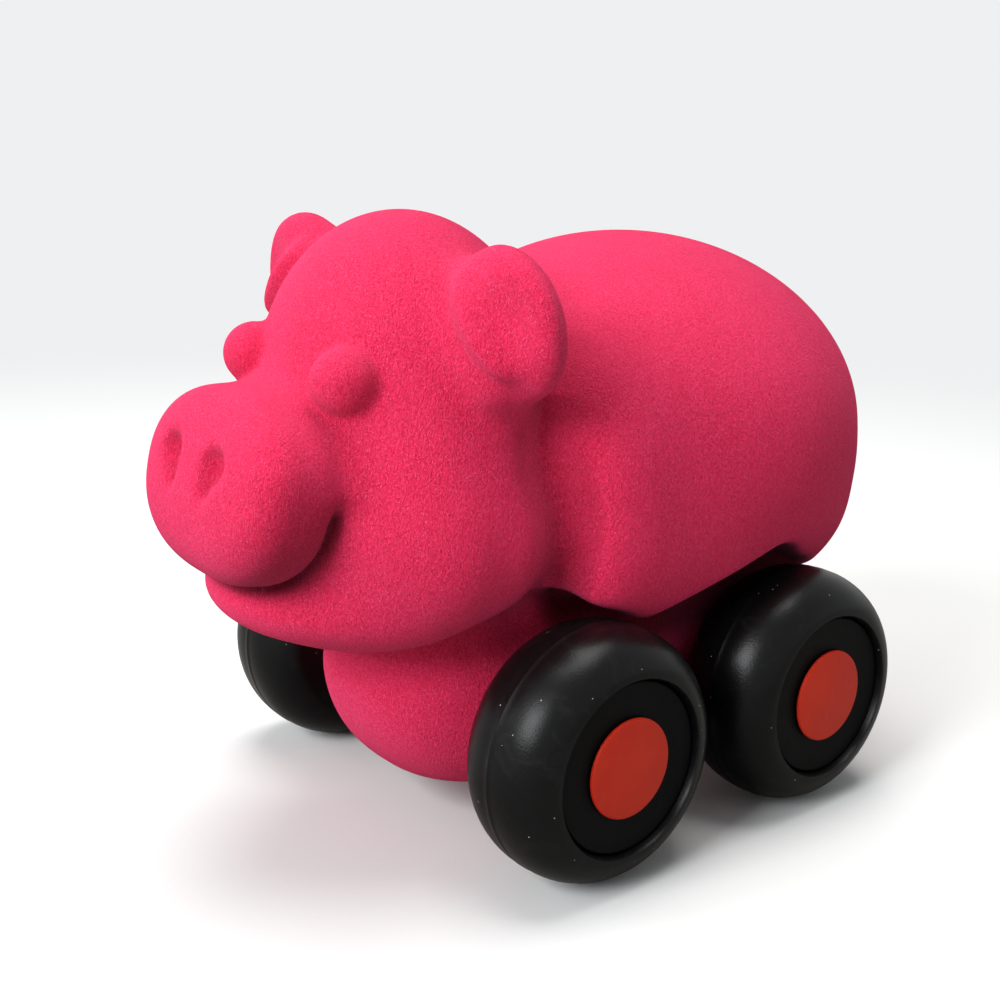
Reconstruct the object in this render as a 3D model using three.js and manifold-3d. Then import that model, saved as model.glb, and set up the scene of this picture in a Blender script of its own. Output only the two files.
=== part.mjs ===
import * as THREE from 'three';
import { mergeVertices } from 'three/addons/utils/BufferGeometryUtils.js';
import Module from 'manifold-3d';

// A pig on wheels: one moulded foam body on two steel axles, with four balloon tyres.
// Millimetres, +Z up. The pig faces -Y and its left side is +X. The tyres stand on Z = 0.

// Overall layout
const wheelBase = 50; // front axle to rear axle
const overallWidth = 96.2; // over the outer faces of the tyres
const bellyClearance = 8; // floor to the flat under the keel
const fitGap = 0.3; // between pieces that touch
const runningGap = 0.25; // around an axle that turns
const archGap = 1; // between a tyre and the foam over it

// Tyre
const tyreRadius = 22;
const tyreWidth = 20.6;
const tyreSides = 32;
const treadBand = 2.4; // width of the flat that the tyre rolls on
const shoulderPower = 1.9; // 2 is a round shoulder
const shoulderSteps = 3;
const lipRadius = 15.2; // outer edge of the dished face
const lipThickness = 0.3;
const lipDepth = 0.5;
const tyreBoreRadius = 11;
const seatDepth = 5.4; // from the outer face of the tyre to the step that holds the hub

// Wheel hub and hub cap
const hubSides = 24;
const dishDepth = 1.1; // from the outer face of the tyre to the rim of the hub
const dishSlope = 0.4; // how much deeper the hub is at its middle
const landRadius = 9;
const pocketRadius = 6.9;
const pocketDepth = 6.8;
const capRadius = 8.5;
const capEdge = 0.7;
const capCrown = 0.4;
const capSpigot = 1.6;
const capSteps = 3;

// Axle and what it runs in
const axleRadius = 2;
const axleSides = 16;
const axleEnd = 0.5; // length beyond the retaining ring
const ringRadius = 4.6;
const ringThickness = 2.5;
const bushWall = 1.1;
const bushLength = 9;
const flangeRadius = 6.4;
const flangeThickness = 1.2;
const washerThickness = 0.8;
const washerRadius = 5.8;
const tubeWall = 1.2;
const bossRadius = 9;
const bossSides = 24;

// Foam forms. Heights are from the axle line, and Y is from midway between the axles. A form's
// power says how square it is, 2 being round, and rise says it for the form's height where it differs.
const torso = { at: [0, 17, 46], radii: [45, 43.5, 35], power: 2, tilt: -5 };
const shoulders = { at: [0, -4, 40], radii: [40.5, 30, 30], power: 2.9, tilt: -9 };
const haunches = { at: [0, 20, 34], radii: [38, 43.5, 25.7], power: 2.4, tilt: 0 };
const skull = { at: [0, -36.2, 55.5], radii: [27, 23.3, 30.4], power: 2, tilt: 0 };
const cheeks = { at: [0, -42.3, 35.2], radii: [33.8, 22.3, 22.2], power: 2, tilt: 0 };
const jaw = { at: [0, -47.3, 24], radii: [23.3, 23.5, 9], power: 2, tilt: 0 };
const snout = { at: [0, -67.8, 43.7], radii: [20.8, 9.2, 15.4], power: 3, rise: 2.3, tilt: -12 };
const keelOverhang = 23.2; // beyond each axle
const keelHeight = 10.5; // its middle, above the axle line
const keelRise = 32;
const keelPower = 2.6;
const keelGap = 1.3; // between the keel and the inner face of a tyre
const headLean = 2.5; // degrees that the head leans to its left
const headHinge = 50; // height that it leans about
const mouthCorner = 50; // height where the mouth crease has faded out
const mouthFade = 8;
const snoutCover = 0.2; // of the head's skin over the top of the snout
const bodyCore = [0, 8, 30]; // a point inside, from which the form is blown up
const headCore = [0, -45, 40];
const fillet = { torso: 6, haunches: 5, keel: 5, arch: 2, skull: 14, jaw: 6, bridge: 4.5 };
const detail = { body: 9, head: 11, snout: 6, lobe: 3, eye: 3, ridge: 2, nostril: 1 };

// Small features of the head, for its left side. A turn is in degrees about X, Y and Z.
const eye = { at: [13.6, -56.5, 61.5], radii: [5.5, 5.3, 5.3], turn: [0, 0, 0] };
const earLobe = { at: [28.4, -36.2, 71.4], radii: [12.4, 5.9, 12], turn: [9.5, -20, -5] };
const earRidge = { at: [25.6, -40.8, 72.2], radii: [2.8, 3.4, 9.8], turn: [0, -44, 0] };
const earDish = { at: [36.6, -46.6, 71.3], radii: [5.8, 6.6, 9.5], turn: [0, -30, -5] };
const nostril = { at: [6.6, -76.8, 48.8], radii: [2.5, 3.4, 3], turn: [-12, 0, 0] };
const nostrilTail = { at: [5.9, -77.4, 45.4], radii: [1.7, 3, 4], turn: [-12, 0, 0] };

// The little coiled tail
const tailHeight = 52;
const tailCoilRadius = 4.2;
const tailThickness = 1.7;
const tailTurns = 1.25;
const tailTighten = 0.55; // share of the coil's radius lost by its tip
const tailStandOff = 1; // of its middle line from the rump
const tailPoints = 14;
const tailSteps = 24;
const tailFacets = 3; // on each half of its round section

// How exactly the shapes are worked out
const mergeWithin = 0.01;
const settleStep = 0.1;
const halvings = 20;
const tiny = 1e-6; // keeps a slope from being zero over zero

// Worked out from the sizes above
const halfWidth = tyreWidth / 2;
const wheelX = overallWidth / 2 - halfWidth;
const innerFace = wheelX - halfWidth;
const axleHeight = tyreRadius * Math.cos(Math.PI / tyreSides);
const axleY = wheelBase / 2;
const keelHalfWidth = innerFace - keelGap;
const keelBottom = bellyClearance - axleHeight;
const hubSeat = halfWidth - seatDepth;
const hubFace = halfWidth - dishDepth;
const hubLand = hubFace - dishSlope;
const pocketFloor = hubLand - pocketDepth;
const ringStart = pocketFloor + fitGap;
const axleTip = wheelX + ringStart + ringThickness + axleEnd;
const washerStart = innerFace - fitGap - washerThickness;
const flangeStart = washerStart - fitGap - flangeThickness;
const bossFace = flangeStart - fitGap;
const bushBore = around(axleRadius + runningGap, axleSides);
const bushRadius = bushBore + bushWall;
const tubeBore = around(bushRadius + fitGap, axleSides);
const tubeRadius = tubeBore + tubeWall;

const headPlace = new THREE.Matrix4().makeTranslation(0, 0, headHinge)
  .multiply(new THREE.Matrix4().makeRotationY(THREE.MathUtils.degToRad(headLean)))
  .multiply(new THREE.Matrix4().makeTranslation(0, 0, -headHinge));

const wasm = await Module();
wasm.setup();

// Corner radius of a regular polygon whose flats lie at this distance from its centre.
function around(flatDistance, sides) {
  return flatDistance / Math.cos(Math.PI / sides);
}

// Largest corner radius that stays fitGap inside a polygonal bore.
function inside(boreRadius, sides) {
  return boreRadius * Math.cos(Math.PI / sides) - fitGap;
}

function degrees(angle) {
  return THREE.MathUtils.degToRad(angle);
}

// One closed mesh with shared corners, and its faces turned outwards.
function closed(geometry) {
  geometry.deleteAttribute('normal');
  geometry.deleteAttribute('uv');
  const merged = mergeVertices(geometry, mergeWithin);
  const position = merged.getAttribute('position');
  const index = Array.from(merged.index.array);
  const [a, b, c] = [new THREE.Vector3(), new THREE.Vector3(), new THREE.Vector3()];
  const kept = [];
  let volume = 0;
  for (let i = 0; i < index.length; i += 3) {
    const [p, q, r] = index.slice(i, i + 3);
    if (p === q || q === r || r === p) continue;
    a.fromBufferAttribute(position, p);
    b.fromBufferAttribute(position, q);
    c.fromBufferAttribute(position, r);
    volume += a.dot(b.cross(c));
    kept.push(p, q, r);
  }
  merged.setIndex(volume > 0 ? kept : kept.reverse());
  return merged;
}

function toSolid(geometry) {
  const merged = closed(geometry);
  const vertProperties = new Float32Array(merged.getAttribute('position').array);
  const triVerts = new Uint32Array(merged.index.array);
  return new wasm.Manifold(new wasm.Mesh({ numProp: 3, vertProperties, triVerts }));
}

function toGeometry(solid) {
  const mesh = solid.getMesh();
  const geometry = new THREE.BufferGeometry();
  geometry.setAttribute('position', new THREE.BufferAttribute(mesh.vertProperties, 3));
  geometry.setIndex(new THREE.BufferAttribute(mesh.triVerts, 1));
  return closed(geometry);
}

// Signed distance, close to the surface, of a rounded form: an ellipsoid where power is 2.
function reach(point, form) {
  const { power, rise = power, radii } = form;
  const spot = point.clone().sub(new THREE.Vector3(...form.at));
  spot.applyAxisAngle(new THREE.Vector3(1, 0, 0), -degrees(form.tilt));
  const [x, y, z] = spot.toArray().map((value, i) => Math.abs(value) / radii[i] + tiny);
  const girth = (x ** power + y ** power) ** (1 / power);
  const size = (girth ** rise + z ** rise) ** (1 / rise);
  const level = size ** (1 - rise) * girth ** (rise - power);
  return (size - 1) / Math.hypot(
    (level * x ** (power - 1)) / radii[0],
    (level * y ** (power - 1)) / radii[1],
    (size ** (1 - rise) * z ** (rise - 1)) / radii[2],
  );
}

// Joins two distances with a fillet of about the given softness.
function blend(one, other, softness) {
  const share = THREE.MathUtils.clamp(0.5 + (other - one) / (2 * softness), 0, 1);
  return THREE.MathUtils.lerp(other, one, share) - softness * share * (1 - share);
}

function carve(one, cut, softness) {
  return -blend(-one, cut, softness);
}

// The round room over an axle, and the part of it that lies beside the keel, where a tyre turns.
function archRoom(point) {
  return Math.hypot(Math.abs(point.y) - axleY, point.z) - tyreRadius - archGap;
}

function wheelRoom(point) {
  return carve(archRoom(point), Math.abs(point.x) - keelHalfWidth, fillet.arch);
}

function bodyForm(point) {
  const keel = {
    at: [0, 0, keelHeight],
    radii: [keelHalfWidth, axleY + keelOverhang, keelRise],
    power: keelPower,
    tilt: 0,
  };
  let form = blend(reach(point, torso), reach(point, shoulders), fillet.torso);
  form = blend(form, reach(point, haunches), fillet.haunches);
  form = blend(form, reach(point, keel), fillet.keel);
  return carve(form, wheelRoom(point), fillet.arch);
}

// The head before it leans, as far as the snout, whose top melts into the face. Below the mouth's
// corners it stays clear of the snout, so that the two meet in a crease.
function headForm(point) {
  let face = blend(reach(point, skull), reach(point, cheeks), fillet.skull);
  face = blend(face, reach(point, jaw), fillet.jaw);
  face = carve(face, archRoom(point.clone().applyMatrix4(headPlace)), fillet.arch);
  const bridged = blend(face, reach(point, snout) - snoutCover, fillet.bridge);
  const above = THREE.MathUtils.clamp((point.z - mouthCorner) / mouthFade + 1, 0, 1);
  return THREE.MathUtils.lerp(face, bridged, above);
}

// Blows a ball up from a point inside until each corner lies on the form.
function inflate(centre, form, steps) {
  const geometry = new THREE.IcosahedronGeometry(1, steps);
  const position = geometry.getAttribute('position');
  const start = new THREE.Vector3(...centre);
  const direction = new THREE.Vector3();
  for (let i = 0; i < position.count; i += 1) {
    direction.fromBufferAttribute(position, i).normalize();
    const at = (length) => direction.clone().multiplyScalar(length).add(start);
    let near = 0;
    let far = 1;
    while (form(at(far)) < 0) {
      near = far;
      far += 1;
    }
    for (let step = 0; step < halvings; step += 1) {
      const middle = (near + far) / 2;
      if (form(at(middle)) < 0) near = middle;
      else far = middle;
    }
    position.setXYZ(i, ...at(near).toArray());
  }
  return geometry;
}

function headSolid(geometry) {
  return toSolid(geometry.applyMatrix4(headPlace));
}

// An ellipsoid of the head, or its mirror image on the other side.
function ellipsoid(form, side, steps) {
  const geometry = new THREE.IcosahedronGeometry(1, steps);
  geometry.scale(...form.radii);
  const turn = new THREE.Euler(...form.turn.map(degrees), 'ZXY');
  geometry.applyQuaternion(new THREE.Quaternion().setFromEuler(turn));
  geometry.translate(...form.at);
  geometry.scale(side, 1, 1);
  return headSolid(geometry);
}

// A round bar along X, centred on an axle line.
function crossBar(radius, length, sides, y) {
  const geometry = new THREE.CylinderGeometry(radius, radius, length, sides);
  geometry.rotateZ(Math.PI / 2);
  geometry.translate(0, y, 0);
  return toSolid(geometry);
}

// A coil that lies against the rump.
function tailSolid() {
  const points = [];
  for (let i = 0; i <= tailPoints; i += 1) {
    const share = i / tailPoints;
    const angle = share * tailTurns * Math.PI * 2;
    const radius = tailCoilRadius * (1 - tailTighten * share);
    const height = tailHeight + radius * Math.cos(angle);
    const point = new THREE.Vector3(radius * Math.sin(angle), torso.at[1], height);
    while (bodyForm(point) < tailStandOff) point.y += settleStep;
    points.push(point);
  }
  const section = new THREE.Shape().absarc(0, 0, tailThickness, 0, Math.PI * 2);
  return toSolid(new THREE.ExtrudeGeometry(section, {
    steps: tailSteps,
    curveSegments: tailFacets,
    bevelEnabled: false,
    extrudePath: new THREE.CatmullRomCurve3(points),
  }));
}

function foamBody() {
  let solid = toSolid(inflate(bodyCore, bodyForm, detail.body));
  solid = solid.add(headSolid(inflate(headCore, headForm, detail.head)));
  solid = solid.add(headSolid(inflate(snout.at, (point) => reach(point, snout), detail.snout)));
  for (const side of [1, -1]) {
    const ear = ellipsoid(earLobe, side, detail.lobe).add(ellipsoid(earRidge, side, detail.ridge));
    solid = solid.add(ear).subtract(ellipsoid(earDish, side, detail.lobe));
    solid = solid.add(ellipsoid(eye, side, detail.eye));
    solid = solid.subtract(ellipsoid(nostril, side, detail.nostril));
    solid = solid.subtract(ellipsoid(nostrilTail, side, detail.nostril));
  }
  solid = solid.add(tailSolid());
  const bore = around(tubeRadius + fitGap, axleSides);
  for (const y of [-axleY, axleY]) {
    solid = solid.add(crossBar(bossRadius, 2 * bossFace, bossSides, y));
    solid = solid.subtract(crossBar(bore, overallWidth, axleSides, y));
  }
  const below = new THREE.BoxGeometry(overallWidth, 4 * wheelBase, axleHeight);
  below.translate(0, 0, keelBottom - axleHeight / 2);
  return toGeometry(solid.subtract(toSolid(below)));
}

// A ring turned about X from corners given as [radius, distance along X].
function turned(corners, sides) {
  const outline = corners.map(([radius, along]) => new THREE.Vector2(radius, along));
  if (corners[0][0] > 0) outline.push(outline[0].clone());
  const geometry = new THREE.LatheGeometry(outline, sides);
  geometry.rotateZ(-Math.PI / 2);
  geometry.rotateX(Math.PI / sides);
  return closed(geometry);
}

// One side of the tyre's shoulder, from the tread to the lip.
function shoulder(side) {
  const corners = [];
  for (let i = 0; i <= shoulderSteps; i += 1) {
    const angle = (i / shoulderSteps) * (Math.PI / 2);
    const out = Math.sin(angle) ** (2 / shoulderPower);
    const up = Math.cos(angle) ** (2 / shoulderPower);
    const along = treadBand / 2 + (halfWidth - treadBand / 2) * out;
    corners.push([lipRadius + (tyreRadius - lipRadius) * up, side * along]);
  }
  return corners;
}

function tyreShape() {
  const recess = lipRadius - lipThickness;
  return turned([
    ...shoulder(1),
    [recess, halfWidth - lipDepth],
    [recess, hubSeat],
    [tyreBoreRadius, hubSeat],
    [tyreBoreRadius, -halfWidth],
    ...shoulder(-1).reverse(),
  ], tyreSides);
}

function hubShape() {
  const bore = around(axleRadius + fitGap, axleSides);
  const barrel = inside(tyreBoreRadius, tyreSides);
  const rim = inside(lipRadius - lipThickness, tyreSides);
  return turned([
    [bore, -halfWidth],
    [barrel, -halfWidth],
    [barrel, hubSeat + fitGap],
    [rim, hubSeat + fitGap],
    [rim, hubFace],
    [landRadius, hubLand],
    [pocketRadius, hubLand],
    [pocketRadius, pocketFloor],
    [bore, pocketFloor],
  ], hubSides);
}

function capShape() {
  const seat = hubLand + fitGap;
  const spigot = inside(pocketRadius, hubSides);
  const corners = [[0, seat - capSpigot], [spigot, seat - capSpigot], [spigot, seat], [capRadius, seat]];
  for (let i = 0; i < capSteps; i += 1) {
    const share = i / capSteps;
    const rise = capEdge + capCrown * (1 - (1 - share) ** 2);
    corners.push([capRadius * (1 - share), seat + rise]);
  }
  corners.push([0, seat + capEdge + capCrown]);
  return turned(corners, hubSides);
}

function ringShape() {
  const bore = around(axleRadius + fitGap, axleSides);
  return turned([
    [bore, ringStart],
    [ringRadius, ringStart],
    [ringRadius, ringStart + ringThickness],
    [bore, ringStart + ringThickness],
  ], axleSides);
}

function washerShape() {
  const bore = around(axleRadius + fitGap, axleSides);
  const start = washerStart - wheelX;
  return turned([
    [bore, start],
    [washerRadius, start],
    [washerRadius, start + washerThickness],
    [bore, start + washerThickness],
  ], axleSides);
}

function bushShape() {
  const start = flangeStart - wheelX;
  return turned([
    [bushBore, start - bushLength],
    [bushRadius, start - bushLength],
    [bushRadius, start],
    [flangeRadius, start],
    [flangeRadius, start + flangeThickness],
    [bushBore, start + flangeThickness],
  ], axleSides);
}

function tubeShape() {
  return turned([
    [tubeBore, -bossFace],
    [tubeRadius, -bossFace],
    [tubeRadius, bossFace],
    [tubeBore, bossFace],
  ], axleSides);
}

function axleShape() {
  return turned([[0, -axleTip], [axleRadius, -axleTip], [axleRadius, axleTip], [0, axleTip]], axleSides);
}

const finishes = {
  foam: { color: 0xe8335f, roughness: 0.95, metalness: 0 },
  rubber: { color: 0x1b1b1d, roughness: 0.55, metalness: 0 },
  hub: { color: 0x121214, roughness: 0.5, metalness: 0 },
  cap: { color: 0xd2401f, roughness: 0.4, metalness: 0 },
  nylon: { color: 0xe6e2d6, roughness: 0.5, metalness: 0 },
  steel: { color: 0xb4b7bb, roughness: 0.3, metalness: 1 },
};

const toy = new THREE.Group();
const chassis = new THREE.Group();
chassis.position.z = axleHeight;
toy.add(chassis);

function place(name, geometry, finish, side, x, y) {
  geometry.computeVertexNormals();
  const mesh = new THREE.Mesh(geometry, new THREE.MeshStandardMaterial(finishes[finish]));
  mesh.name = name;
  mesh.position.set(side * x, y, 0);
  mesh.rotation.z = side > 0 ? 0 : Math.PI;
  chassis.add(mesh);
}

place('foam_body', foamBody(), 'foam', 1, 0, 0);
for (const [end, y] of [['front', -axleY], ['rear', axleY]]) {
  place(`axle_tube_${end}`, tubeShape(), 'nylon', 1, 0, y);
  place(`axle_${end}`, axleShape(), 'steel', 1, 0, y);
  for (const [hand, side] of [['left', 1], ['right', -1]]) {
    place(`bush_${end}_${hand}`, bushShape(), 'nylon', side, wheelX, y);
    place(`washer_${end}_${hand}`, washerShape(), 'nylon', side, wheelX, y);
    place(`wheel_hub_${end}_${hand}`, hubShape(), 'hub', side, wheelX, y);
    place(`tyre_${end}_${hand}`, tyreShape(), 'rubber', side, wheelX, y);
    place(`retaining_ring_${end}_${hand}`, ringShape(), 'steel', side, wheelX, y);
    place(`hub_cap_${end}_${hand}`, capShape(), 'cap', side, wheelX, y);
  }
}

// The origin is on the floor, under the middle of the toy's length and width.
const bounds = new THREE.Box3().setFromObject(toy);
toy.position.y = -(bounds.min.y + bounds.max.y) / 2;
toy.updateMatrixWorld(true);

export default toy;
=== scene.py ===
import math

import bmesh
import bpy
import numpy as np
from mathutils import Matrix, Vector


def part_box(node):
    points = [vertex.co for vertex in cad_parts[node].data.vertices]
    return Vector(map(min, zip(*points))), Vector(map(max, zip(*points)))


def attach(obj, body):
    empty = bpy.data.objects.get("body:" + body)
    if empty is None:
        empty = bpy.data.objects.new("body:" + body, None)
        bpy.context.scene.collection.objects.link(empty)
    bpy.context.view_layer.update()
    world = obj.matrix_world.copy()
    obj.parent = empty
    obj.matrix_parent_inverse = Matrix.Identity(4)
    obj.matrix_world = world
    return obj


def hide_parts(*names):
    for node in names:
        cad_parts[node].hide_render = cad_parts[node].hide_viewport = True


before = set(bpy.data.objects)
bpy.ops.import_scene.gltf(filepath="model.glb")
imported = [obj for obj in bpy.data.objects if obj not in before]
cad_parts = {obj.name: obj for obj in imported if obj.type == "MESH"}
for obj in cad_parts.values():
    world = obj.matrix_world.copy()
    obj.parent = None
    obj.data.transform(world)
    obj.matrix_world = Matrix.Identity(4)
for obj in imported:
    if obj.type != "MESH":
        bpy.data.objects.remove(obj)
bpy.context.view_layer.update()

# Metres. The pig faces -Y and its left side is +X. Forms of the foam are placed from a point
# midway between the axles, on the axle line.
layout = {
    "ends": ("front", "rear"),
    "hands": (("left", 1), ("right", -1)),
    "sharpFrom": 32,  # degrees between faces that shade apart
}


def middleOf(node):
    low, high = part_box(node)
    return (low + high) / 2


def halfSpan(node, axis):
    low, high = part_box(node)
    return (high[axis] - low[axis]) / 2


frontAxle = middleOf("axle_front")
rearAxle = middleOf("axle_rear")
centre = (frontAxle + rearAxle) / 2
axleHalf = (rearAxle - frontAxle).y / 2
tyreRadius = halfSpan("tyre_front_left", 2)
tyreHalfWidth = halfSpan("tyre_front_left", 0)
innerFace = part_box("tyre_front_left")[0].x
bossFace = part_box("axle_tube_front")[1].x
print("frame loaded:", len(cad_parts), "nodes")


# Shader helpers

def newGroup(name, inputs, outputs):
    group = bpy.data.node_groups.new(name, "ShaderNodeTree")
    for label, kind, value in inputs:
        socket = group.interface.new_socket(label, in_out="INPUT", socket_type="NodeSocket" + kind)
        socket.default_value = value
    for label, kind in outputs:
        group.interface.new_socket(label, in_out="OUTPUT", socket_type="NodeSocket" + kind)
    return group, group.nodes.new("NodeGroupInput"), group.nodes.new("NodeGroupOutput")


# A value is another node's socket, which is linked, or a plain number or colour.
def feed(tree, socket, value):
    if isinstance(value, bpy.types.NodeSocket):
        tree.links.new(value, socket)
    else:
        socket.default_value = value


# Sockets are given by name, or as i0, i1 and so on where the names repeat.
def addNode(tree, kind, settings=(), **sockets):
    node = tree.nodes.new("ShaderNode" + kind)
    for key, value in dict(settings).items():
        setattr(node, key, value)
    for label, value in sockets.items():
        key = int(label[1:]) if label[1:].isdigit() else label.replace("_", " ")
        feed(tree, node.inputs[key], value)
    return node


def mathNode(tree, operation, first, second=0.5, third=0.5):
    node = addNode(tree, "Math", {"operation": operation}, i0=first, i1=second, i2=third)
    return node.outputs[0]


def spread(tree, value, low, high, toLow=0.0, toHigh=1.0):
    node = addNode(tree, "MapRange", {"clamp": True}, i0=value, i1=low, i2=high, i3=toLow, i4=toHigh)
    return node.outputs[0]


def mixColour(tree, share, one, other):
    node = addNode(tree, "Mix", {"data_type": "RGBA"}, i0=share)
    for index, value in ((6, one), (7, other)):
        feed(tree, node.inputs[index], (*value, 1) if isinstance(value, tuple) else value)
    return node.outputs[2]


def noiseAt(tree, place, scale, detail=2.0, roughness=0.5, distortion=0.0):
    node = addNode(tree, "TexNoise", {}, Vector=place, Scale=scale, Detail=detail,
                   Roughness=roughness, Distortion=distortion)
    return node.outputs["Fac"]


# Short fibres standing on end: pale tips that are painted sheen over dark gaps that are painted shade,
# in patches that lean one way or another.
def buildNapGroup():
    group, given, result = newGroup("napGrain", [
        ("Place", "Vector", (0, 0, 0)), ("Fibre Size", "Float", 0.0005), ("Patch Size", "Float", 0.006)],
        [("Grain", "Float"), ("Patch", "Float"), ("Sheen Tip", "Float"), ("Height", "Float")])
    place = given.outputs["Place"]
    perMetre = mathNode(group, "DIVIDE", 1.0, given.outputs["Fibre Size"])
    strokes = addNode(group, "Mapping", {}, Vector=place, Rotation=(0.35, 0.25, 0),
                      Scale=(1, 1, 0.6)).outputs[0]
    fine = noiseAt(group, strokes, perMetre, 2.0, 0.6, 0.7)
    finer = noiseAt(group, strokes, mathNode(group, "MULTIPLY", perMetre, 2.2), 2.0, 0.6, 0.4)
    grain = mathNode(group, "MULTIPLY_ADD", fine, 0.6, mathNode(group, "MULTIPLY", finer, 0.4))
    perPatch = mathNode(group, "DIVIDE", 1.0, given.outputs["Patch Size"])
    patches = noiseAt(group, place, perPatch, 3.0, 0.55, 0.8)
    group.links.new(spread(group, grain, 0.38, 0.62), result.inputs["Grain"])
    group.links.new(spread(group, patches, 0.3, 0.7), result.inputs["Patch"])
    group.links.new(spread(group, finer, 0.58, 0.72), result.inputs["Sheen Tip"])
    group.links.new(grain, result.inputs["Height"])
    return group


# Fine unevenness left by a mould, with a few scuffs.
def buildMouldGroup():
    group, given, result = newGroup("mouldSkin", [
        ("Place", "Vector", (0, 0, 0)), ("Grain Size", "Float", 0.0004), ("Scuff Size", "Float", 0.004)],
        [("Height", "Float"), ("Scuff", "Float"), ("Cloud", "Float")])
    place = given.outputs["Place"]
    height = noiseAt(group, place, mathNode(group, "DIVIDE", 1.0, given.outputs["Grain Size"]), 3.0, 0.6)
    perScuff = mathNode(group, "DIVIDE", 1.0, given.outputs["Scuff Size"])
    streaks = noiseAt(group, place, perScuff, 5.0, 0.7, 1.5)
    cloud = noiseAt(group, place, mathNode(group, "MULTIPLY", perScuff, 0.3), 3.0, 0.5)
    group.links.new(height, result.inputs["Height"])
    group.links.new(spread(group, streaks, 0.56, 0.72), result.inputs["Scuff"])
    group.links.new(spread(group, cloud, 0.35, 0.65), result.inputs["Cloud"])
    return group


# Sparse pale specks of lint.
def buildLintGroup():
    group, given, result = newGroup("lint", [
        ("Place", "Vector", (0, 0, 0)), ("Spacing", "Float", 0.002), ("Speck", "Float", 0.12),
        ("Bare Share", "Float", 0.76)],
        [("Mask", "Float")])
    place = given.outputs["Place"]
    cells = addNode(group, "TexVoronoi", {"feature": "F1"}, Vector=place,
                    Scale=mathNode(group, "DIVIDE", 1.0, given.outputs["Spacing"]), Randomness=1.0)
    near = mathNode(group, "LESS_THAN", cells.outputs["Distance"], given.outputs["Speck"])
    split = addNode(group, "SeparateColor", {}, Color=cells.outputs["Color"])
    chosen = mathNode(group, "GREATER_THAN", split.outputs["Red"], given.outputs["Bare Share"])
    group.links.new(mathNode(group, "MULTIPLY", near, chosen), result.inputs["Mask"])
    return group


napGroup = buildNapGroup()
mouldGroup = buildMouldGroup()
lintGroup = buildLintGroup()


def newMaterial(name):
    material = bpy.data.materials.new(name)
    material.use_nodes = True
    tree = material.node_tree
    shader = tree.nodes["Principled BSDF"]
    place = tree.nodes.new("ShaderNodeTexCoord").outputs["Object"]
    return material, tree, shader, place


def useGroup(tree, group, **sockets):
    node = tree.nodes.new("ShaderNodeGroup")
    node.node_tree = group
    for label, value in sockets.items():
        feed(tree, node.inputs[label.replace("_", " ")], value)
    return node.outputs


def addBump(tree, shader, height, depth):
    bump = addNode(tree, "Bump", {}, Height=height, Distance=depth, Strength=1.0)
    tree.links.new(bump.outputs["Normal"], shader.inputs["Normal"])


flock = {
    # Painted shade: the colour of the gaps between the fibres.
    "gapShade": (0.70, 0.013, 0.056),
    "body": (0.95, 0.037, 0.136),
    # Painted sheen: the pale colour of the fibre tips.
    "tip": (1.0, 0.20, 0.45),
    "leaning": (1.0, 0.055, 0.170),
    # Painted shade, laid in folds, over the wheels and under the snout.
    "paintedShade": (0.13, 0.0014, 0.0055),
    "sheen": (1.0, 0.30, 0.66),
    "fibreSize": 0.00036,
    "patchSize": 0.008,
    "bumpDepth": 0.0009,
    "tipShare": 0.6,
    "leanShare": 0.16,  # of the paler patches
    "roughness": 0.95,
    "specular": 0.1,
    "sheenWeight": 0.25,
    "sheenRoughness": 0.3,
}


def flockMaterial():
    material, tree, shader, place = newMaterial("flockedFoam")
    nap = useGroup(tree, napGroup, Place=place, Fibre_Size=flock["fibreSize"], Patch_Size=flock["patchSize"])
    # The grain's darker gaps are painted shade, and its pale tips are painted sheen.
    grained = mixColour(tree, nap["Grain"], flock["gapShade"], flock["body"])
    tipped = mixColour(tree, mathNode(tree, "MULTIPLY", nap["Sheen Tip"], flock["tipShare"]), grained, flock["tip"])
    leaning = mathNode(tree, "MULTIPLY", nap["Patch"], flock["leanShare"])
    combed = mixColour(tree, leaning, tipped, flock["leaning"])
    # The mask made with the foam lays painted shade on the flock here.
    paintedShade = addNode(tree, "Attribute", {"attribute_name": "paintedShade"}).outputs["Fac"]
    tree.links.new(mixColour(tree, paintedShade, combed, flock["paintedShade"]), shader.inputs["Base Color"])
    shader.inputs["Roughness"].default_value = flock["roughness"]
    shader.inputs["Specular IOR Level"].default_value = flock["specular"]
    shader.inputs["Sheen Weight"].default_value = flock["sheenWeight"]
    shader.inputs["Sheen Roughness"].default_value = flock["sheenRoughness"]
    shader.inputs["Sheen Tint"].default_value = (*flock["sheen"], 1)
    addBump(tree, shader, nap["Height"], flock["bumpDepth"])
    return material


# Grain, gloss and relief that the rubber and the plastics share.
def mouldedSkin(tree, shader, place, finish, glossMask):
    skin = useGroup(tree, mouldGroup, Place=place, Grain_Size=finish["grainSize"],
                    Scuff_Size=finish["scuffSize"])
    low, high = finish["roughness"]
    tree.links.new(spread(tree, skin[glossMask], 0.0, 1.0, low, high), shader.inputs["Roughness"])
    shader.inputs["Specular IOR Level"].default_value = finish["specular"]
    addBump(tree, shader, skin["Height"], finish["bumpDepth"])
    return skin


rubber = {
    "base": (0.0024, 0.0024, 0.0026),
    "worn": (0.011, 0.011, 0.012),
    "lint": (0.42, 0.41, 0.40),
    "grainSize": 0.00035,
    "scuffSize": 0.006,
    "scuffShare": 0.5,
    "lintSpacing": 0.0016,
    "lintSpeck": 0.065,  # radius of a speck, against the spacing
    "roughness": (0.27, 0.34),
    "specular": 0.15,
    "bumpDepth": 0.00003,
}


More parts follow.
